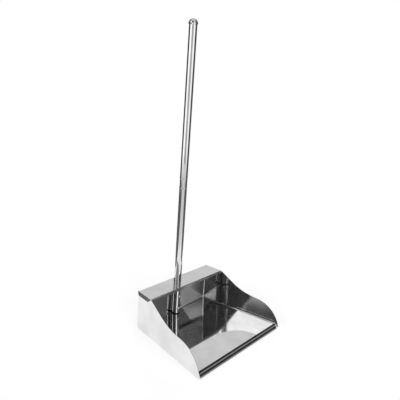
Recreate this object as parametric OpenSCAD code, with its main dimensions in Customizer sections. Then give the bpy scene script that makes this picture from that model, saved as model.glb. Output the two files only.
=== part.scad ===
// Lobby dustpan of folded stainless sheet with a two-piece screw-together tube handle.
// Millimetres, +Z up, the lip faces -Y, the ground is z = 0.

/* [Pan] */
// Outer width across the side walls at their front tips
front_w = 338; // [260:1:400]
// Outer width across the side walls at the back sheet's foot
back_w = 276; // [220:1:360]
// Depth on the ground, from the wall tips to the back sheet's foot
pan_d = 268; // [220:1:360]
// Length of the back up its slope, to the top of the cover
back_h = 114; // [100:1:160]
// Forward lean of the back sheet and the handle, in degrees
lean = 0; // [0:0.1:10]
// Thickness of all the sheet
sheet_t = 0.8; // [0.6:0.1:1.2]
// Bend radius of the cover, at mid thickness
bend_r = 1.6; // [1.2:0.1:3]
// Bend radius of the tray's fold and flanges, at mid thickness
tray_bend_r = 3; // [1.2:0.1:4]
// Height of the floor's top face at its front edge
floor_front_z = 11.5; // [8:0.1:20]
// Room between the ground and the fold at the floor's back
ground_gap = 0.5; // [0.2:0.1:2]
// How far the floor's front edge sits behind the wall tips
lip_back = 8; // [3:0.1:10]
// Width of the flanges that weld the tray to the side walls
weld_flange_w = 8; // [5:0.5:14]
// Width of the fold under the floor's front edge
hem_w = 9; // [6:0.5:16]

/* [Side walls] */
// Height of the upright edge at each wall's tip
tip_h = 8.4; // [6:0.1:14]
// Angle between the nose and the upright at the tip, in degrees
tip_lean = 17; // [5:0.1:25]
// Radius of the round nose behind the tip
nose_r = 84; // [60:1:90]
// Slope of the wall's edge where the nose ends, in degrees
crest_slope = 1.5; // [0:0.5:8]
// Slope of the wall's edge where it runs under the cover, in degrees
shoulder_slope = 25; // [8:1:30]
// Radius of the lower front corner
corner_r = 5; // [2:0.5:7]
// Width of the foot turned in along each wall's lower edge
foot_w = 10; // [6:0.5:16]
// Bare length of lower edge in front of each foot
foot_front = 24; // [16:1:60]
// Bare length of lower edge behind each foot
foot_back = 60; // [40:1:110]

/* [Hood cover] */
// Depth of the cover along its slope
cover_d = 60; // [48:1:90]
// Height of the flange at the cover's front edge
front_flange_h = 9; // [8:0.5:18]
// Height of the fold inside the front flange
front_hem_h = 5; // [3:0.5:7]
// Height of the flanges outside the side walls
end_flange_h = 10; // [6:0.5:18]
// Angle by which those flanges stand off the walls, in degrees
end_flare = 8; // [0:1:20]
// Height of the flange behind the back sheet
back_flange_h = 10; // [6:0.5:14]

/* [Rubber lip] */
// Width of the flap that lies on the floor
flap_w = 3.6; // [2:0.1:8]
// Thickness of the flap
flap_t = 1.2; // [0.8:0.1:2]
// Radius of the bead along the lip's nose
bead_r = 1.1; // [0.8:0.1:1.6]
// Width of the grip under the floor's fold
grip_w = 7; // [4:0.1:12]
// Thickness of the grip
grip_t = 1.6; // [1:0.1:3]
// Thickness of the blade at its root
blade_root_t = 2.6; // [1.6:0.1:4]
// Thickness of the blade at its tip
blade_tip_t = 1.4; // [0.8:0.1:2]
// Height of the blade's tip above the ground
blade_gap = 0.6; // [0.4:0.1:3]
// Free length between the lip and each side flange
lip_end_gap = 1.5; // [0.5:0.1:4]

/* [Handle] */
// Outer diameter of both tubes
tube_d = 22; // [18:0.5:28]
// Wall of both tubes
tube_t = 1; // [0.7:0.1:1.5]
// Length of the handle from the ground line to the top of the knob
handle_h = 831.5; // [600:1:1000]
// Place of the lower tube's upper end along the handle
joint_h = 390.5; // [300:1:500]
// Length of the collar between the tubes
collar_h = 31; // [20:0.5:40]
// Diameter of the collar's waist
collar_d = 21.4; // [17:0.1:27]
// Radius of the round bead at each end of the collar
collar_bead_r = 1.5; // [1:0.1:2.5]
// Diameter of the threaded stud
stud_d = 12; // [8:0.5:14]
// Length of stud screwed into the lower socket
stud_down = 22; // [16:0.5:30]
// Length of stud fixed in the upper socket
stud_up = 25; // [16:0.5:40]
// Length of the two sockets
socket_h = 34; // [32:0.5:50]
// Diameter of the knob
knob_d = 25.6; // [22:0.2:34]
// Height of the knob above the tube
knob_h = 15; // [12:0.5:24]
// Length of the knob's spigot inside the tube
knob_spigot_h = 16; // [8:0.5:30]
// Height of the foot plug's rim
plug_rim_h = 2; // [1:0.1:4]
// Length of the foot plug's spigot inside the tube
plug_spigot_h = 8; // [4:0.5:9]

/* [Fasteners] */
// Diameter of the handle bolts
bolt_d = 6; // [4:0.5:7]
// Place of the lower bolt along the handle
bolt_low = 19.5; // [19:0.5:30]
// Place of the upper bolt along the handle
bolt_high = 59.5; // [40:0.5:80]
// Diameter of the domed bolt heads
head_d = 10.5; // [8:0.1:12]
// Height of the domed bolt heads
head_h = 3.4; // [2:0.1:4]
// Width of the socket in each bolt head, across its flats
key_w = 4; // [2.5:0.5:5]
// Depth of the socket in each bolt head
key_h = 1.8; // [1:0.1:2.5]
// Width of the nuts across their flats
nut_w = 10; // [8:0.5:13]
// Height of the nuts
nut_h = 5; // [3:0.1:7]
// Diameter of the washers
washer_d = 13; // [11:0.5:18]
// Thickness of the washers
washer_t = 1.2; // [0.8:0.1:2]
// Length of bolt that stands out of the nut
bolt_proud = 1.5; // [0.5:0.1:4]

/* [Fits] */
// Room between sheets that are welded together
weld_gap = 0.05; // [0.02:0.01:0.2]
// Room in the hem's fold
hem_gap = 0.2; // [0.1:0.05:0.5]
// Room round the tube in the cover
cover_clear = 0.4; // [0.2:0.05:1]
// Room between the tube and the back sheet
tube_gap = 0.1; // [0.05:0.05:0.5]
// Room on the radius of a pressed or glued seat
press_gap = 0.02; // [0.01:0.01:0.05]
// Room on the radius of the stud in the socket and collar that it turns in
thread_clear = 0.08; // [0.04:0.01:0.1]
// Room at each end of the collar
joint_gap = 0.1; // [0.05:0.05:0.3]
// Room on the diameter of the bolts' holes
bolt_clear = 0.4; // [0.2:0.1:1]
// Room between the rubber and the floor's fold
lip_fit = 0.05; // [0.02:0.01:0.2]
// Room between the foot plug and the floor
foot_gap = 0.3; // [0.1:0.1:1]

/* [Hidden] */

$fn = 64;
// Segments in a sheet bend and in a wall's long curves
bend_steps = 5;
curve_steps = 20;
// How far cutting shapes run past what they cut
cut_over = 20;
// Handles of the wall's S-curve, as shares of its chord
crest_handle_share = 0.5;
shoulder_handle_share = 0.35;
// Thickness that stretching leaves in the tray's side flanges, as a share of the sheet's
flange_thin_share = 0.95;
// Chamfer under the foot plug, as a share of its rim
plug_chamfer_share = 0.6;
// Drop of the knob's base to its widest ring, as a share of its height
knob_belly_share = 0.14;
// Cuts of the end flanges' front and back corners, as shares of their height
front_cut_share = 1;
back_cut_share = 0.5;

// Angle of the side walls in plan
taper = atan((front_w - back_w) / 2 / pan_d);
// Reach of the lower bolt behind the back sheet's foot
bolt_end = washer_t + nut_h + bolt_proud;
rear_over = bolt_end * cos(lean) - (bolt_low - bolt_d / 2) * sin(lean);
// Front tips and back foot, with the origin midway along the whole depth
front_y = -(pan_d + rear_over) / 2;
back_y = front_y + pan_d;
// Length of a side wall on the ground
wall_l = pan_d / cos(taper);
// Mid plane of the tray's side flanges, inside the walls' outer faces
flange_in = sheet_t * 3 / 2 + weld_gap;
// Depth that the cover's back bend takes up below its top face
bend_room = bend_r + sheet_t / 2;

// A direction in the plane, a line crossing, and a cubic curve
function dir(a) = [cos(a), sin(a)];
function meet(p, a, q, b) = p + dir(a) * cross(q - p, dir(b)) / cross(dir(a), dir(b));
function arc(c, r, from, to) =
  [for (i = [0:curve_steps]) c + r * dir(from + (to - from) * i / curve_steps)];
function cubic(a, b, c, d) = [
  for (i = [1:curve_steps])
    let (t = i / curve_steps, u = 1 - t)
    a * u * u * u + 3 * b * u * u * t + 3 * c * u * t * t + d * t * t * t
];

// Point of the leaning back, from its depth behind the outer face and its length up the slope
function back_point(depth, up) = [
  back_y + depth * cos(lean) - up * sin(lean),
  depth * sin(lean) + up * cos(lean)
];

// Floor: its top face runs from the front edge down to the corner with the back sheet
floor_back_z = ground_gap + sheet_t;
corner_up = (floor_back_z + sheet_t * sin(lean)) / cos(lean);
floor_corner = back_point(-sheet_t, corner_up);
floor_edge = [front_y + lip_back, floor_front_z];
floor_fall = atan2(floor_front_z - floor_corner[1], floor_corner[0] - floor_edge[0]);
floor_dir = dir(-floor_fall);
floor_up = dir(90 - floor_fall);
// Point near the lip, from its reach in front of the floor's edge and its height over the floor
function lip_point(reach, up) = floor_edge - floor_dir * reach + floor_up * up;

// Handle axis in front of the back's outer face, and the stations along it
axis_in = sheet_t + tube_gap + tube_d / 2;
bore_d = tube_d - 2 * tube_t;
plug_chamfer = plug_rim_h * plug_chamfer_share;
floor_rise = (axis_in + tube_d / 2 - sheet_t) * tan(lean + floor_fall);
fold_rise = tray_bend_r - sheet_t / 2 - plug_chamfer;
foot_h = corner_up + max(floor_rise, fold_rise) + foot_gap;
lower_tube_h = foot_h + plug_rim_h;
collar_z = joint_h + joint_gap;
upper_tube_h = collar_z + collar_h + joint_gap;
knob_z = handle_h - knob_h;

// Path offset to one side, with round bends
function bent_side(path, radii, off) = [
  for (i = [0:len(path) - 1])
    let (
      before = path[max(i - 1, 0)],
      here = path[i],
      after = path[min(i + 1, len(path) - 1)],
      leave = i == len(path) - 1 ? here - before : after - here,
      come = i == 0 ? leave : here - before,
      a = atan2(come[1], come[0]),
      turn = atan2(cross(come, leave), come * leave),
      side = sign(turn),
      start = here - radii[i] * tan(abs(turn) / 2) * dir(a),
      centre = start + side * radii[i] * dir(a + 90)
    )
    each side == 0
      ? [here + off * dir(a + 90)]
      : [for (k = [0:bend_steps]) centre + (off - side * radii[i]) * dir(a + 90 + turn * k / bend_steps)]
];
function backward(list) = [for (i = [len(list) - 1:-1:0]) list[i]];

// Section of a bent sheet along a path at mid thickness
module bent_sheet(path, radii, thick = sheet_t) {
  polygon(concat(bent_side(path, radii, thick / 2), backward(bent_side(path, radii, -thick / 2))));
}

// Lays a section drawn in (y, z) across the pan
module across() {
  rotate([90, 0, 90])
    linear_extrude(height = front_w + 2 * cut_over, center = true)
      children();
}

// Frame of the back sheet's outer face, with z up its slope
module leaning() {
  translate([0, back_y, 0])
    rotate([lean, 0, 0])
      children();
}

// Frame of the handle's axis
module on_axis(up = 0) {
  leaning()
    translate([0, -axis_in, up])
      children();
}

// Frame of the two handle bolts, with z pointing back through the back sheet's outer face
module at_bolts() {
  for (up = [bolt_low, bolt_high])
    leaning()
      translate([0, 0, up])
        rotate([-90, 0, 0])
          children();
}

// Upright block between planes parallel to the side walls, moved out from their outer faces
module between_walls(out) {
  near = front_y - cut_over;
  far = back_y + cut_over;
  near_half = front_w / 2 + cut_over * tan(taper) + out / cos(taper);
  far_half = back_w / 2 - cut_over * tan(taper) + out / cos(taper);
  translate([0, 0, -cut_over])
    linear_extrude(height = back_h + 2 * cut_over)
      polygon([[-near_half, near], [near_half, near], [far_half, far], [-far_half, far]]);
}

// Frame of the left wall's outer face, with x along it, y up and z into the pan
module on_wall() {
  translate([-front_w / 2, front_y, 0])
    rotate([90, 0, 90 - taper])
      children();
}

// Draws a shape on both sides of the pan
module both_sides() {
  children();
  mirror([1, 0, 0])
    children();
}

// Corner of the floor and the back sheet, at mid thickness
tray_corner = meet(lip_point(0, -sheet_t / 2), -floor_fall, back_point(-sheet_t / 2, 0), 90 + lean);

// Floor and back sheet, folded from one sheet, with the hem under the front edge
module tray_section() {
  hem_r = (sheet_t + hem_gap) / 2;
  fold = lip_point(-sheet_t / 2, -sheet_t / 2);
  path = [
    fold - floor_up * 2 * hem_r + floor_dir * hem_w,
    fold - floor_up * 2 * hem_r,
    fold,
    tray_corner,
    back_point(-sheet_t / 2, back_h - bend_room)
  ];
  bent_sheet(path, [0, hem_r, hem_r, tray_bend_r, 0]);
}

// Side view of the flanges turned up along the floor and the back, with both ends cut at a slant
flange_top = back_h - front_flange_h;
module flange_outline() {
  below = lip_point(0, -2 * sheet_t);
  nose = lip_point(-weld_flange_w, weld_flange_w);
  polygon([
    below,
    lip_point(0, 0),
    nose,
    meet(nose, -floor_fall, back_point(-sheet_t - weld_flange_w, 0), 90 + lean),
    back_point(-sheet_t - weld_flange_w, flange_top - weld_flange_w),
    back_point(-sheet_t, flange_top),
    back_point(sheet_t, flange_top),
    meet(below, -floor_fall, back_point(sheet_t, 0), 90 + lean)
  ]);
}

// Bend and flange on the left, along a line of the tray given in side view
function on_flange(p) = [(p[0] - front_y) / cos(taper) + flange_in * tan(taper), p[1]];
module weld_bend(from, to) {
  start = on_flange(from);
  run = on_flange(to) - start;
  along = atan2(run[1], run[0]);
  inward = [-sin(taper) * sin(along), cos(taper)];
  on_wall()
    translate([start[0], start[1], flange_in])
      rotate([0, 0, along])
        rotate([90, 0, 90])
          linear_extrude(height = norm(run))
            bent_sheet(
              [[weld_flange_w, 0], [0, 0], inward * 2 * tray_bend_r / norm(inward)],
              [0, tray_bend_r, 0],
              sheet_t * flange_thin_share
            );
}

module bolt_holes() {
  at_bolts()
    cylinder(d = bolt_d + bolt_clear, h = 2 * cut_over, center = true);
}

module pan_tray() {
  color("silver")
    difference() {
      union() {
        intersection() {
          across() tray_section();
          between_walls(-flange_in - tray_bend_r);
        }
        both_sides()
          intersection() {
            across() flange_outline();
            union() {
              weld_bend(lip_point(0, -sheet_t / 2), tray_corner);
              weld_bend(tray_corner, back_point(-sheet_t / 2, flange_top));
            }
          }
      }
      bolt_holes();
    }
}

// Side view of a wall: round tip corner, round nose, S-curve to the cover, leaning back edge
module wall_outline() {
  nose = [nose_r * cos(tip_lean), tip_h - nose_r * sin(tip_lean)];
  crest = nose + nose_r * dir(90 + crest_slope);
  under = back_h - sheet_t - weld_gap;
  to_wall = [-front_y, 0];
  shoulder = back_point(weld_gap + sheet_t - cover_d, under) + to_wall;
  heel = [back_point(-bend_r, under) + to_wall, back_point(0, back_h - bend_room) + to_wall];
  chord = norm(shoulder - crest);
  edge = concat(
    arc([corner_r, corner_r], corner_r, 270, 180),
    arc(nose, nose_r, 180 - tip_lean, 90 + crest_slope),
    cubic(
      crest,
      crest + chord * crest_handle_share * dir(crest_slope),
      shoulder - chord * shoulder_handle_share * dir(shoulder_slope),
      shoulder
    ),
    heel,
    [back_point(0, 0) + to_wall]
  );
  polygon([for (p = edge) [p[0] / cos(taper), p[1]]]);
}

// Wall on the -X side, with the foot turned in under the floor
module side_wall() {
  on_wall() {
    linear_extrude(height = sheet_t)
      wall_outline();
    translate([foot_front, 0, 0])
      cube([wall_l - foot_front - foot_back, sheet_t, foot_w]);
  }
}

module left_side_wall() {
  color("gainsboro")
    side_wall();
}

module right_side_wall() {
  color("gainsboro")
    mirror([1, 0, 0])
      side_wall();
}

// Mid plane of the cover and its front and back edges, in the frame of the back sheet
cover_mid = back_h - sheet_t / 2;
cover_back = weld_gap + sheet_t / 2;
cover_front = weld_gap + sheet_t * 3 / 2 - cover_d;

// Flange on the left, bent down outside the wall and standing off it
module end_flange() {
  wall_at = back_w / 2 + cover_mid * sin(lean) * tan(taper);
  low = back_h - end_flange_h;
  out = weld_gap + bend_r * tan((90 - end_flare) / 2);
  leg = (end_flange_h - sheet_t / 2) / cos(end_flare);
  intersection() {
    leaning()
      translate([-wall_at, 0, cover_mid])
        rotate([90, 0, -atan(tan(taper) * cos(lean))])
          linear_extrude(height = 2 * cover_d + 2 * cut_over, center = true)
            bent_sheet(
              [[2 * bend_r, 0], [-out, 0], [-out, 0] - leg * dir(90 - end_flare)],
              [0, bend_r, 0]
            );
    leaning() across()
      polygon([
        [cover_front, back_h],
        [cover_front, cover_mid - sheet_t / 2],
        [cover_front + end_flange_h * front_cut_share, low],
        [cover_back - end_flange_h * back_cut_share, low],
        [cover_back, cover_mid - sheet_t / 2],
        [cover_back, back_h]
      ]);
  }
}

// Cover with a hemmed front flange between the walls, and flanges outside the walls and the back
module hood_cover() {
  mid = cover_mid;
  back = cover_back;
  front = cover_front;
  hem_r = (sheet_t + hem_gap) / 2;
  low = back_h - front_flange_h + sheet_t / 2;
  color("lightgray")
    difference() {
      union() {
        intersection() {
          leaning() across()
            bent_sheet(
              [[front + bend_r, mid], [back, mid], [back, back_h - back_flange_h]],
              [0, bend_r, 0]
            );
          between_walls(0);
        }
        intersection() {
          leaning() across()
            bent_sheet(
              [
                [front + 2 * hem_r, low + front_hem_h],
                [front + 2 * hem_r, low],
                [front, low],
                [front, mid],
                [(front + back) / 2, mid]
              ],
              [0, hem_r, hem_r, bend_r, 0]
            );
          between_walls(-sheet_t - weld_gap);
        }
        both_sides()
          end_flange();
      }
      on_axis(back_h - 2 * sheet_t)
        cylinder(d = tube_d + 2 * cover_clear, h = 3 * sheet_t);
    }
}

// Section of the lip: flap over the floor, grip under its fold, bead at the nose, blade to the ground
module lip_section() {
  under = -2 * sheet_t - hem_gap - lip_fit;
  root = blade_root_t + lip_fit;
  tip = [front_y, blade_gap];
  polygon([
    lip_point(-flap_w, lip_fit),
    lip_point(-flap_w, lip_fit + flap_t / 2),
    lip_point(-flap_w + flap_t, lip_fit + flap_t),
    lip_point(root / 2, lip_fit + flap_t),
    lip_point(root, under / 2),
    tip,
    tip + [blade_tip_t, 0],
    lip_point(lip_fit, under - grip_t),
    lip_point(-grip_w, under - grip_t),
    lip_point(-grip_w, under),
    lip_point(lip_fit, under),
    lip_point(lip_fit, lip_fit)
  ]);
  translate(lip_point(root - bead_r, lip_fit + flap_t - bead_r))
    circle(r = bead_r);
}

module rubber_lip() {
  color("black")
    intersection() {
      across() lip_section();
      between_walls(-flange_in - tray_bend_r - lip_end_gap);
    }
}

module tube(from, to) {
  on_axis(from)
    difference() {
      cylinder(d = tube_d, h = to - from);
      translate([0, 0, -cut_over])
        cylinder(d = bore_d, h = to - from + 2 * cut_over);
    }
}

module lower_tube() {
  color("silver")
    difference() {
      tube(lower_tube_h, joint_h);
      at_bolts()
        translate([0, 0, -axis_in - tube_d])
          cylinder(d = bolt_d + bolt_clear, h = axis_in + tube_d);
    }
}

module upper_tube() {
  color("silver")
    tube(upper_tube_h, knob_z);
}

module foot_plug() {
  color("black")
    on_axis(foot_h) {
      cylinder(d1 = tube_d - 2 * plug_chamfer, d2 = tube_d, h = plug_chamfer);
      translate([0, 0, plug_chamfer])
        cylinder(d = tube_d, h = plug_rim_h - plug_chamfer);
      cylinder(d = bore_d - 2 * press_gap, h = plug_rim_h + plug_spigot_h);
    }
}

// Sleeve pressed into a tube's end, with a bore for the stud
module socket(from, room) {
  on_axis(from)
    difference() {
      cylinder(d = bore_d - 2 * press_gap, h = socket_h);
      translate([0, 0, -cut_over])
        cylinder(d = stud_d + 2 * room, h = socket_h + 2 * cut_over);
    }
}

module lower_socket() {
  color("dimgray")
    socket(joint_h - socket_h, thread_clear);
}

module upper_socket() {
  color("dimgray")
    socket(upper_tube_h, press_gap);
}

module joint_stud() {
  color("gray")
    on_axis(joint_h - stud_down)
      cylinder(d = stud_d, h = upper_tube_h + stud_up - joint_h + stud_down);
}

// Collar with a round bead against each tube and a plain waist
module joint_collar() {
  inside = stud_d / 2 + thread_clear;
  ring = tube_d / 2 - collar_bead_r / 2;
  color("darkgray")
    on_axis(collar_z)
      rotate_extrude() {
        translate([inside, 0])
          square([collar_d / 2 - inside, collar_h]);
        for (mid = [collar_bead_r, collar_h - collar_bead_r]) {
          translate([inside, mid - collar_bead_r])
            square([ring - inside, 2 * collar_bead_r]);
          translate([ring, mid])
            circle(r = collar_bead_r);
        }
      }
}

// Ball knob, necked in to the tube, with a spigot inside it
module end_knob() {
  belly = knob_h * knob_belly_share;
  ball_r = knob_d / 2;
  flat = knob_h - belly - ball_r;
  color("silver")
    on_axis(knob_z) {
      rotate_extrude()
        intersection() {
          translate([0, belly + flat])
            circle(r = ball_r);
          polygon([
            [0, 0],
            [tube_d / 2, 0],
            [ball_r, belly + flat],
            [ball_r, knob_h],
            [0, knob_h]
          ]);
        }
      translate([0, 0, -knob_spigot_h])
        cylinder(d = bore_d - 2 * press_gap, h = knob_spigot_h);
    }
}

// Domed bolts through the tube and the back sheet, with a key socket in each head
module handle_bolts() {
  seat = axis_in + tube_d / 2;
  dome_r = (head_h * head_h + head_d * head_d / 4) / (2 * head_h);
  color("silver")
    at_bolts()
      difference() {
        union() {
          translate([0, 0, -seat])
            cylinder(d = bolt_d, h = seat + bolt_end);
          intersection() {
            translate([0, 0, -seat - head_h + dome_r])
              sphere(r = dome_r);
            translate([0, 0, -seat - head_h])
              cylinder(d = head_d, h = head_h);
          }
        }
        translate([0, 0, -seat - head_h - cut_over])
          cylinder(d = key_w / cos(30), h = key_h + cut_over, $fn = 6);
      }
}

module bolt_washers() {
  color("silver")
    at_bolts()
      difference() {
        cylinder(d = washer_d, h = washer_t);
        cylinder(d = bolt_d + bolt_clear, h = 2 * cut_over, center = true);
      }
}

module bolt_nuts() {
  color("silver")
    at_bolts()
      translate([0, 0, washer_t])
        difference() {
          cylinder(d = nut_w / cos(30), h = nut_h, $fn = 6);
          cylinder(d = bolt_d + 2 * press_gap, h = 2 * cut_over, center = true);
        }
}

pan_tray();
left_side_wall();
right_side_wall();
hood_cover();
rubber_lip();
lower_tube();
foot_plug();
lower_socket();
handle_bolts();
bolt_washers();
bolt_nuts();
joint_collar();
joint_stud();
upper_socket();
upper_tube();
end_knob();
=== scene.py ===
"""Looks of a lobby dustpan: mirror-polished stainless pan, rubber lip and two-piece tube handle."""

import math

import bpy
from mathutils import Matrix, Vector


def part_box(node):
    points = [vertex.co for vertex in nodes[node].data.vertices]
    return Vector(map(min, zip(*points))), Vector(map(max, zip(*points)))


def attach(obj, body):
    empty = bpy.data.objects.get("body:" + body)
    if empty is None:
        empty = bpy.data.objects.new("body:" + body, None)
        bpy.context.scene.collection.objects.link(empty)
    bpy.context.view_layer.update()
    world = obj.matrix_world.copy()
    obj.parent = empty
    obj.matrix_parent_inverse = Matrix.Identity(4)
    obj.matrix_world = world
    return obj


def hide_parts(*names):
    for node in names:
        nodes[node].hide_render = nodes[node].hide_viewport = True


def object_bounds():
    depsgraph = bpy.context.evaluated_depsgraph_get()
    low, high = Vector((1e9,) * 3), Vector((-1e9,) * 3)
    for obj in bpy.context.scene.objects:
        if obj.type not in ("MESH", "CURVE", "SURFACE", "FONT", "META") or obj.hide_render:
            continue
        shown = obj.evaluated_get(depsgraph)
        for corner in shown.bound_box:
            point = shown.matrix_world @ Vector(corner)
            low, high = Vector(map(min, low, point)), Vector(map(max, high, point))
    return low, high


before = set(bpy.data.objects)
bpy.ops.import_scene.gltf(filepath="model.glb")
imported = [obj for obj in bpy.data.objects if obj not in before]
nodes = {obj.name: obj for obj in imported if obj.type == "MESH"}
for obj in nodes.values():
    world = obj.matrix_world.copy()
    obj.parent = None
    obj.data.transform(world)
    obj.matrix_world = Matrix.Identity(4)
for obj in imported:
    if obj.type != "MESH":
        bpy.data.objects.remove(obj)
cad_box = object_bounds()

# Front and back of the pan, and half its width at each
front_y = cad_box[0][1]
back_y = cad_box[1][1]
front_half_w = cad_box[1][0]
BACK_HALF_W = 0.138

# Camera, worked out from the photograph's perspective
FRAME_PX = 400
FOCAL_PX = 437.4
SENSOR_MM = 36.0
CLIP_NEAR = 0.01
CLIP_FAR = 50
CAMERA_AT = Vector((-0.8464, -0.7054, 0.6966))
CAMERA_YAW = math.radians(-48.16)
CAMERA_PITCH = math.radians(15.94)
CAMERA_ROLL = math.radians(4.19)


def add_object(name, data):
    added = bpy.data.objects.new(name, data)
    bpy.context.scene.collection.objects.link(added)
    return added


def make_camera():
    data = bpy.data.cameras.new("camera")
    data.sensor_width = SENSOR_MM
    data.lens = SENSOR_MM * FOCAL_PX / FRAME_PX
    data.clip_start = CLIP_NEAR
    data.clip_end = CLIP_FAR
    camera = add_object("camera", data)
    turn = (
        Matrix.Rotation(CAMERA_YAW, 4, "Z")
        @ Matrix.Rotation(math.pi / 2 - CAMERA_PITCH, 4, "X")
        @ Matrix.Rotation(CAMERA_ROLL, 4, "Z")
    )
    camera.matrix_world = Matrix.Translation(CAMERA_AT) @ turn
    bpy.context.scene.camera = camera
    bpy.context.scene.view_settings.view_transform = "Standard"


# Noise gathers round a half, and a pattern goes from bare to full between these values of it
NOISE_BARE = 0.3
NOISE_FULL = 0.7


class Shader:
    """A node tree under construction, with short calls for its nodes and links."""

    def __init__(self, tree):
        self.tree = tree
        tree.nodes.clear()

    def add(self, kind, **settings):
        node = self.tree.nodes.new(kind)
        for name, value in settings.items():
            setattr(node, name, value)
        return node

    def put(self, value, socket):
        """Links a socket's value, or sets a plain one."""
        if isinstance(value, bpy.types.NodeSocket):
            self.tree.links.new(value, socket)
        else:
            socket.default_value = value

    def math(self, operation, *values):
        node = self.add("ShaderNodeMath", operation=operation)
        for value, socket in zip(values, node.inputs):
            self.put(value, socket)
        return node.outputs[0]

    def ramp(self, value, low, high, to_low, to_high, shape="LINEAR"):
        """Goes from to_low, where the value is low or less, to to_high, where it is high or more."""
        node = self.add("ShaderNodeMapRange", interpolation_type=shape)
        for given, socket in zip((value, low, high, to_low, to_high), node.inputs):
            self.put(given, socket)
        return node.outputs[0]

    def step(self, value, low, high, to_low=0.0, to_high=1.0):
        """A ramp with soft ends."""
        return self.ramp(value, low, high, to_low, to_high, "SMOOTHSTEP")

    def noise(self, place, scale, detail=2.0):
        node = self.add("ShaderNodeTexNoise")
        self.put(place, node.inputs["Vector"])
        node.inputs["Scale"].default_value = scale
        node.inputs["Detail"].default_value = detail
        return node.outputs["Fac"]

    def streaks(self, place, scales, detail=2.0):
        """Noise with scales of its own along X, Y and Z."""
        node = self.add("ShaderNodeMapping")
        self.put(place, node.inputs["Vector"])
        node.inputs["Scale"].default_value = scales
        return self.noise(node.outputs["Vector"], 1, detail)

    def spread(self, noise, bare=0.0, full=1.0):
        return self.step(noise, NOISE_BARE, NOISE_FULL, bare, full)

    def split(self, vector):
        node = self.add("ShaderNodeSeparateXYZ")
        self.put(vector, node.inputs["Vector"])
        return node.outputs

    def grey(self, factor, first, second):
        node = self.add("ShaderNodeMix", data_type="RGBA")
        self.put(factor, node.inputs["Factor"])
        node.inputs["A"].default_value = (first, first, first, 1)
        node.inputs["B"].default_value = (second, second, second, 1)
        return node.outputs["Result"]

    def bump(self, height, distance, strength=1.0, under=None):
        node = self.add("ShaderNodeBump")
        node.inputs["Strength"].default_value = strength
        node.inputs["Distance"].default_value = distance
        self.put(height, node.inputs["Height"])
        if under is not None:
            self.put(under, node.inputs["Normal"])
        return node.outputs["Normal"]


def bare_material(name):
    material = bpy.data.materials.new(name)
    material.use_nodes = True
    return material, Shader(material.node_tree)


def new_material(name):
    """A material with one surface, and the place on the object that its patterns follow."""
    material, shader = bare_material(name)
    surface = shader.add("ShaderNodeBsdfPrincipled")
    output = shader.add("ShaderNodeOutputMaterial")
    shader.put(surface.outputs["BSDF"], output.inputs["Surface"])
    place = shader.add("ShaderNodeTexCoord").outputs["Object"]
    return material, shader, surface, place


# The walls and the flanges on them lean out a little, more so at the foot of the nose, which only their
# reflections show. Leans are slopes, and the nose's lean falls off with height.
LEAN_BACK = 0.0175
LEAN_NOSE = 0.07
LEAN_TIP = 0.09
LEAN_LOSS = 0.45
NOSE_STARTS_Y = 0.04
NOSE_FULL_Y = -0.06
# Share of a face's direction that points sideways, from none of the lean to all of it
SIDEWAYS_NONE = 0.6
SIDEWAYS_ALL = 0.9


def wall_lean(shader, place):
    facing = shader.split(shader.add("ShaderNodeNewGeometry").outputs["True Normal"])[0]
    across, along, up = shader.split(place)
    outside = shader.math("SIGN", shader.math("MULTIPLY", facing, across))
    sideways = shader.step(shader.math("ABSOLUTE", facing), SIDEWAYS_NONE, SIDEWAYS_ALL)
    foot = shader.step(along, front_y, NOSE_FULL_Y, LEAN_TIP, LEAN_NOSE)
    nose_lean = shader.math("SUBTRACT", foot, shader.math("MULTIPLY", up, LEAN_LOSS))
    nose = shader.step(along, NOSE_FULL_Y, NOSE_STARTS_Y, 1, 0)
    more = shader.math("MULTIPLY", nose, shader.math("SUBTRACT", nose_lean, LEAN_BACK))
    height = shader.math("MULTIPLY", up, shader.math("ADD", more, LEAN_BACK))
    return shader.math("MULTIPLY", height, shader.math("MULTIPLY", outside, sideways))


# Seams between the tray and the walls: a low weld bead, ground to a satin strip
SEAM_FROM_WALL = 0.0034
SEAM_HALF_W = 0.0011
SEAM_CROWN_HALF_W = 0.00022
SEAM_RISE = 0.0005
SEAM_ROUGH = 0.3


def weld_seam(shader, place):
    across, along, _ = shader.split(place)
    wall_at = shader.ramp(along, front_y, back_y, front_half_w, BACK_HALF_W)
    gap = shader.math("SUBTRACT", wall_at, shader.math("ABSOLUTE", across))
    off = shader.math("ABSOLUTE", shader.math("SUBTRACT", gap, SEAM_FROM_WALL))
    return shader.step(off, SEAM_CROWN_HALF_W, SEAM_HALF_W, 1, 0)


# Polished steel. Shades and roughness are given where it is clean and where it is marked, and reliefs as a
# height and the share of it that shows.
STEEL_SHADES = (0.66, 0.56)
MIRROR_ROUGH = (0.03, 0.08)
SHEET_ROUGH = (0.05, 0.10)
BRUSHED_ROUGH = (0.12, 0.2)
# Share of the steel that mirrors, the rest is a haze of fine scratches
MIRROR_SHARE = 0.96
SMUDGE_SCALE = 18
SMUDGE_DETAIL = 4
WAVE_SCALE = 11
WAVE_DETAIL = 1
SHEET_WAVE = 0.00004
TUBE_WAVE = 0.00001
# Share of the polishing lines in all marks, the rest are smudges
LINE_SHARE = 0.33
BRUSHED_LINE_SHARE = 0.7
LINE_RELIEF = (0.000004, 0.08)
# Scales of the lines along X, Y and Z, the smallest along the way they run
LINES_ACROSS = (40, 2600, 2600)
LINES_UPRIGHT = (2600, 2600, 40)
LINES_BRUSHED = (12, 500, 500)
LINES_ROUND = (300, 300, 4200)


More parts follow.
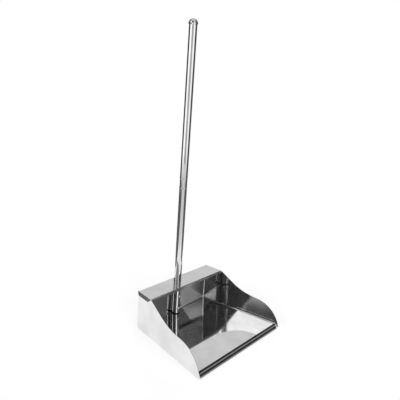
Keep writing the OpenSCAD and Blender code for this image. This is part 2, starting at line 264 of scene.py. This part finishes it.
def polished_steel(name, wave, line_scales, line_share=LINE_SHARE, rough=MIRROR_ROUGH, seam=None, lean=None):
    """Mirror steel with faint waves in the sheet, fine polishing lines and wiped smudges.

    The seam is where the sheet was welded and ground dull, and lean is a height that leans the sheet.
    """
    material, shader, surface, place = new_material(name)
    smudges = shader.noise(place, SMUDGE_SCALE, SMUDGE_DETAIL)
    lines = shader.streaks(place, line_scales)
    marks = shader.math(
        "ADD",
        shader.math("MULTIPLY", smudges, 1 - line_share),
        shader.math("MULTIPLY", lines, line_share),
    )
    shader.put(shader.grey(shader.spread(marks), *STEEL_SHADES), surface.inputs["Base Color"])
    surface.inputs["Metallic"].default_value = MIRROR_SHARE
    roughness = shader.spread(marks, *rough)
    normal = shader.bump(shader.noise(place, WAVE_SCALE, WAVE_DETAIL), wave)
    if seam:
        ground = seam(shader, place)
        roughness = shader.math("MAXIMUM", roughness, shader.math("MULTIPLY", ground, SEAM_ROUGH))
        normal = shader.bump(ground, SEAM_RISE, under=normal)
    if lean:
        normal = shader.bump(lean(shader, place), 1, under=normal)
    shader.put(roughness, surface.inputs["Roughness"])
    shader.put(shader.bump(lines, *LINE_RELIEF, normal), surface.inputs["Normal"])
    return material


PLATED_SHADES = (0.46, 0.60)
PLATED_ROUGH = (0.22, 0.38)
PLATED_RELIEF = (0.00002, 0.3)
MOTTLE_SCALE = 420
MOTTLE_DETAIL = 3


def plated_steel(name):
    """Zinc-plated fasteners: a duller, faintly mottled metal."""
    material, shader, surface, place = new_material(name)
    mottle = shader.noise(place, MOTTLE_SCALE, MOTTLE_DETAIL)
    shader.put(shader.grey(mottle, *PLATED_SHADES), surface.inputs["Base Color"])
    surface.inputs["Metallic"].default_value = 1
    shader.put(shader.spread(mottle, *PLATED_ROUGH), surface.inputs["Roughness"])
    shader.put(shader.bump(mottle, *PLATED_RELIEF), surface.inputs["Normal"])
    return material


RUBBER_ROUGH = (0.35, 0.5)
RUBBER_SHINE = 0.25
RUBBER_RELIEF = (0.00005, 0.3)
GRAIN_SCALE = 1500
GRAIN_DETAIL = 3
SCUFF_SCALES = (30, 160, 160)
SCUFF_DETAIL = 4
SCUFF_SHADE = 0.008
# Painted highlight along the top of the lip: a lighter grey band that stands in for light caught by the bead
BEAD_BEHIND_TIP = 0.0049
BEAD_HALF_W = 0.0009
BEAD_CROWN_HALF_W = 0.00036
PAINTED_HIGHLIGHT_SHADE = 0.36
# Painted light from the table on the sweeping edge: lighter grey from the ground up
GROUND_LIGHT_FULL_H = 0.0005
GROUND_LIGHT_NONE_H = 0.006
PAINTED_GROUND_LIGHT_SHADE = 0.5


def black_rubber(name):
    """Extruded rubber with a fine grain, scuffs along it, a painted highlight along the bead and painted
    light that lightens the sweeping edge.
    """
    material, shader, surface, place = new_material(name)
    grain = shader.noise(place, GRAIN_SCALE, GRAIN_DETAIL)
    scuffs = shader.streaks(place, SCUFF_SCALES, SCUFF_DETAIL)
    _, along, up = shader.split(place)
    off_bead = shader.math("ABSOLUTE", shader.math("SUBTRACT", along, front_y + BEAD_BEHIND_TIP))
    # Painted highlight: the band along the top of the lip is coloured lighter grey
    painted_bead_highlight = shader.step(off_bead, BEAD_CROWN_HALF_W, BEAD_HALF_W, PAINTED_HIGHLIGHT_SHADE, 0)
    # Painted light: the lower edge is coloured lighter towards the ground, for the table's light on it
    painted_ground_light = shader.step(up, GROUND_LIGHT_FULL_H, GROUND_LIGHT_NONE_H, PAINTED_GROUND_LIGHT_SHADE, 0)
    # The painted highlight and the painted light together, added to the rubber's colour
    painted_light = shader.math("MAXIMUM", painted_bead_highlight, painted_ground_light)
    shade = shader.math("ADD", shader.math("MULTIPLY", scuffs, SCUFF_SHADE), painted_light)
    shader.put(shade, surface.inputs["Base Color"])
    surface.inputs["Specular IOR Level"].default_value = RUBBER_SHINE
    shader.put(shader.spread(scuffs, *RUBBER_ROUGH), surface.inputs["Roughness"])
    shader.put(shader.bump(grain, *RUBBER_RELIEF), surface.inputs["Normal"])
    return material


PLASTIC_SHADES = (0.008, 0.016)
PLASTIC_ROUGH = (0.38, 0.52)
PLASTIC_RELIEF = (0.00003, 0.4)
TEXTURE_SCALE = 2600
TINT_SCALE = 90
TINT_DETAIL = 3


def black_plastic(name):
    """Moulded plastic with a fine spark-eroded texture."""
    material, shader, surface, place = new_material(name)
    texture = shader.noise(place, TEXTURE_SCALE)
    tint = shader.noise(place, TINT_SCALE, TINT_DETAIL)
    shader.put(shader.grey(tint, *PLASTIC_SHADES), surface.inputs["Base Color"])
    shader.put(shader.spread(texture, *PLASTIC_ROUGH), surface.inputs["Roughness"])
    shader.put(shader.bump(texture, *PLASTIC_RELIEF), surface.inputs["Normal"])
    return material


pan_steel = polished_steel("pan_steel", SHEET_WAVE, LINES_ACROSS, seam=weld_seam, lean=wall_lean)
wall_steel = polished_steel("wall_steel", SHEET_WAVE, LINES_UPRIGHT, rough=SHEET_ROUGH, lean=wall_lean)
hood_steel = polished_steel("hood_steel", SHEET_WAVE, LINES_BRUSHED, BRUSHED_LINE_SHARE, BRUSHED_ROUGH)
tube_steel = polished_steel("tube_steel", TUBE_WAVE, LINES_ROUND)
fastener_steel = plated_steel("fastener_steel")
rubber = black_rubber("rubber")
plastic = black_plastic("plastic")

FINISH = {
    "pan_tray": pan_steel,
    "left_side_wall": wall_steel,
    "right_side_wall": wall_steel,
    "hood_cover": hood_steel,
    "rubber_lip": rubber,
    "lower_tube": tube_steel,
    "foot_plug": plastic,
    "lower_socket": fastener_steel,
    "handle_bolts": tube_steel,
    "bolt_washers": fastener_steel,
    "bolt_nuts": fastener_steel,
    "joint_collar": tube_steel,
    "joint_stud": fastener_steel,
    "upper_socket": fastener_steel,
    "upper_tube": tube_steel,
    "end_knob": tube_steel,
}
for name, material in FINISH.items():
    mesh = nodes[name].data
    mesh.materials.clear()
    mesh.materials.append(material)

# Thread of the stud that joins the two tubes
THREAD_PITCH = 0.002
THREAD_DEPTH = 0.0011
THREAD_CREST_SHARE = 0.2
THREAD_STEPS = 8
THREAD_SIDES = 40
LEAD_IN = 0.002


def make_threaded_stud():
    """Stud with a real helical ridge: rings of points whose radius follows the thread round and up."""
    low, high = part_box("joint_stud")
    crest = (high.x - low.x) / 2
    axis = (low + high) / 2
    rings = round((high.z - low.z) / THREAD_PITCH * THREAD_STEPS)
    points = []
    for ring in range(rings + 1):
        z = low.z + (high.z - low.z) * ring / rings
        lead = min(1, (z - low.z) / LEAD_IN, (high.z - z) / LEAD_IN)
        for side in range(THREAD_SIDES):
            turn = side / THREAD_SIDES
            phase = ((z - low.z) / THREAD_PITCH - turn) % 1
            ridge = min(1, abs(2 * phase - 1) / (1 - THREAD_CREST_SHARE))
            radius = crest - THREAD_DEPTH + THREAD_DEPTH * min(ridge, lead)
            angle = 2 * math.pi * turn
            points.append((axis.x + radius * math.cos(angle), axis.y + radius * math.sin(angle), z))
    faces = [
        (
            ring * THREAD_SIDES + side,
            ring * THREAD_SIDES + (side + 1) % THREAD_SIDES,
            (ring + 1) * THREAD_SIDES + (side + 1) % THREAD_SIDES,
            (ring + 1) * THREAD_SIDES + side,
        )
        for ring in range(rings)
        for side in range(THREAD_SIDES)
    ]
    last = rings * THREAD_SIDES
    faces.append(tuple(reversed(range(THREAD_SIDES))))
    faces.append(tuple(range(last, last + THREAD_SIDES)))
    mesh = bpy.data.meshes.new("threaded_stud")
    mesh.from_pydata(points, [], faces)
    mesh.shade_smooth()
    mesh.materials.append(fastener_steel)
    stud = add_object("threaded_stud", mesh)
    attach(stud, "upper_handle")
    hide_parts("joint_stud")


make_threaded_stud()

# Stage: a pale table under the part, and soft panels of light round it.
# Bearings are in degrees from the camera's side, to the left below zero, and heights from the horizon.
PANELS = {
    # name: (bearing of the middle, half width, lowest, highest, soft edge, brightness)
    "backdrop": (167, 32, -20, 38, 6, 0.91),
    "left box": (-51, 25, -13, 13, 4, 1.72),
    "front fill": (0, 30, -13, 9, 6, 0.6),
    "right box": (44, 22, -13, 18, 4, 1.56),
    "left top box": (-62, 16, 26.6, 46, 4, 2.35),
    "right top box": (36.5, 18.5, 29, 42, 1.5, 1.6),
    "right top core": (31, 6.5, 27.2, 35, 1, 3.3),
    "right top fill": (16.5, 5.5, 27.6, 42, 0.9, 0.92),
    "right lamp": (22, 12, 20, 25.4, 1, 1.6),
    "front lamp": (-4, 14, 17, 25.2, 0.8, 1.3),
    "left lamp": (-32, 15, 14, 25, 3, 1.25),
    "right side fill": (101, 30, 26, 60, 15, 0.23),
    "left side fill": (-108, 26, 26, 60, 15, 0.3),
}
# Brightness of the room under, between and over the panels, and the heights where it changes
ROOM_UNDER = 0.14
ROOM_LOW = 0.08
ROOM_HIGH = 0.86
UNDER_TO_LOW = (math.radians(-18), math.radians(-13))
LOW_TO_HIGH = (math.radians(46), math.radians(62))


def along_view(shader, vector):
    """Splits a vector into its parts to the right of the camera's view, away from the camera, and up."""
    turn = shader.add("ShaderNodeVectorRotate", rotation_type="Z_AXIS")
    shader.put(vector, turn.inputs["Vector"])
    turn.inputs["Angle"].default_value = -CAMERA_YAW
    return shader.split(turn.outputs["Vector"])


def panel_light(shader, bearing, rise, middle, half_w, lowest, highest, soft, brightness):
    off = shader.math("WRAP", shader.math("SUBTRACT", bearing, math.radians(middle)), math.pi, -math.pi)
    edges = (
        (shader.math("ABSOLUTE", off), half_w, 1, 0),
        (rise, lowest, 0, 1),
        (rise, highest, 1, 0),
    )
    light = brightness
    for value, at, before, after in edges:
        mask = shader.step(value, math.radians(at - soft), math.radians(at + soft), before, after)
        light = shader.math("MULTIPLY", mask, light)
    return light


def make_world():
    world = bpy.data.worlds.new("studio")
    bpy.context.scene.world = world
    world.use_nodes = True
    shader = Shader(world.node_tree)
    side, away, up = along_view(shader, shader.add("ShaderNodeTexCoord").outputs["Generated"])
    rise = shader.math("ARCSINE", up)
    bearing = shader.math("ARCTAN2", side, shader.math("MULTIPLY", away, -1))
    under = shader.step(rise, *UNDER_TO_LOW, ROOM_UNDER, ROOM_LOW)
    light = shader.math("MAXIMUM", shader.step(rise, *LOW_TO_HIGH, 0, ROOM_HIGH), under)
    for panel in PANELS.values():
        light = shader.math("MAXIMUM", light, panel_light(shader, bearing, rise, *panel))
    seen = shader.add("ShaderNodeLightPath").outputs["Is Camera Ray"]
    backdrop = shader.add("ShaderNodeBackground")
    shader.put(shader.math("MAXIMUM", light, seen), backdrop.inputs["Color"])
    output = shader.add("ShaderNodeOutputWorld")
    shader.put(backdrop.outputs[0], output.inputs["Surface"])


# Corners of the table: to the right of the camera's view, and away from the camera
TABLE = [(-0.42, 1.6), (-0.42, -0.35), (-1.3, -2.2), (2.0, -2.2), (0.30, -0.1), (0.30, 1.6)]
TABLE_PAINT = (0.8, 0.8, 0.8, 1)
# Glow of the table as the camera sees it, and in mirrors, by the pan and in front of it, with the places
# along the view between which it changes
SEEN_GLOW = 0.55
PAN_GLOW = 0.85
FRONT_GLOW = 0.46
FRONT_AWAY = -0.75
PAN_AWAY = -0.25


def make_table():
    right = Vector((math.cos(CAMERA_YAW), math.sin(CAMERA_YAW), 0))
    back = Vector((-math.sin(CAMERA_YAW), math.cos(CAMERA_YAW), 0))
    corners = [right * side + back * reach for side, reach in TABLE]
    mesh = bpy.data.meshes.new("table")
    mesh.from_pydata(corners, [], [range(len(corners))])
    table = add_object("table", mesh)
    material, shader = bare_material("table")
    paint = shader.add("ShaderNodeBsdfDiffuse")
    paint.inputs["Color"].default_value = TABLE_PAINT
    rays = shader.add("ShaderNodeLightPath").outputs
    mirrored = shader.math("MAXIMUM", rays["Is Glossy Ray"], rays["Is Transmission Ray"])
    _, away, _ = along_view(shader, shader.add("ShaderNodeTexCoord").outputs["Object"])
    mirror_glow = shader.step(away, FRONT_AWAY, PAN_AWAY, FRONT_GLOW, PAN_GLOW)
    strength = shader.math(
        "MAXIMUM",
        shader.math("MULTIPLY", rays["Is Camera Ray"], SEEN_GLOW),
        shader.math("MULTIPLY", mirrored, mirror_glow),
    )
    glow = shader.add("ShaderNodeEmission")
    shader.put(strength, glow.inputs["Strength"])
    both = shader.add("ShaderNodeAddShader")
    shader.put(paint.outputs[0], both.inputs[0])
    shader.put(glow.outputs[0], both.inputs[1])
    output = shader.add("ShaderNodeOutputMaterial")
    shader.put(both.outputs[0], output.inputs["Surface"])
    mesh.materials.append(material)


# Facing mirrors pass light on many times
MIRROR_BOUNCES = 7
bpy.context.scene.cycles.glossy_bounces = MIRROR_BOUNCES

make_camera()
make_world()
make_table()
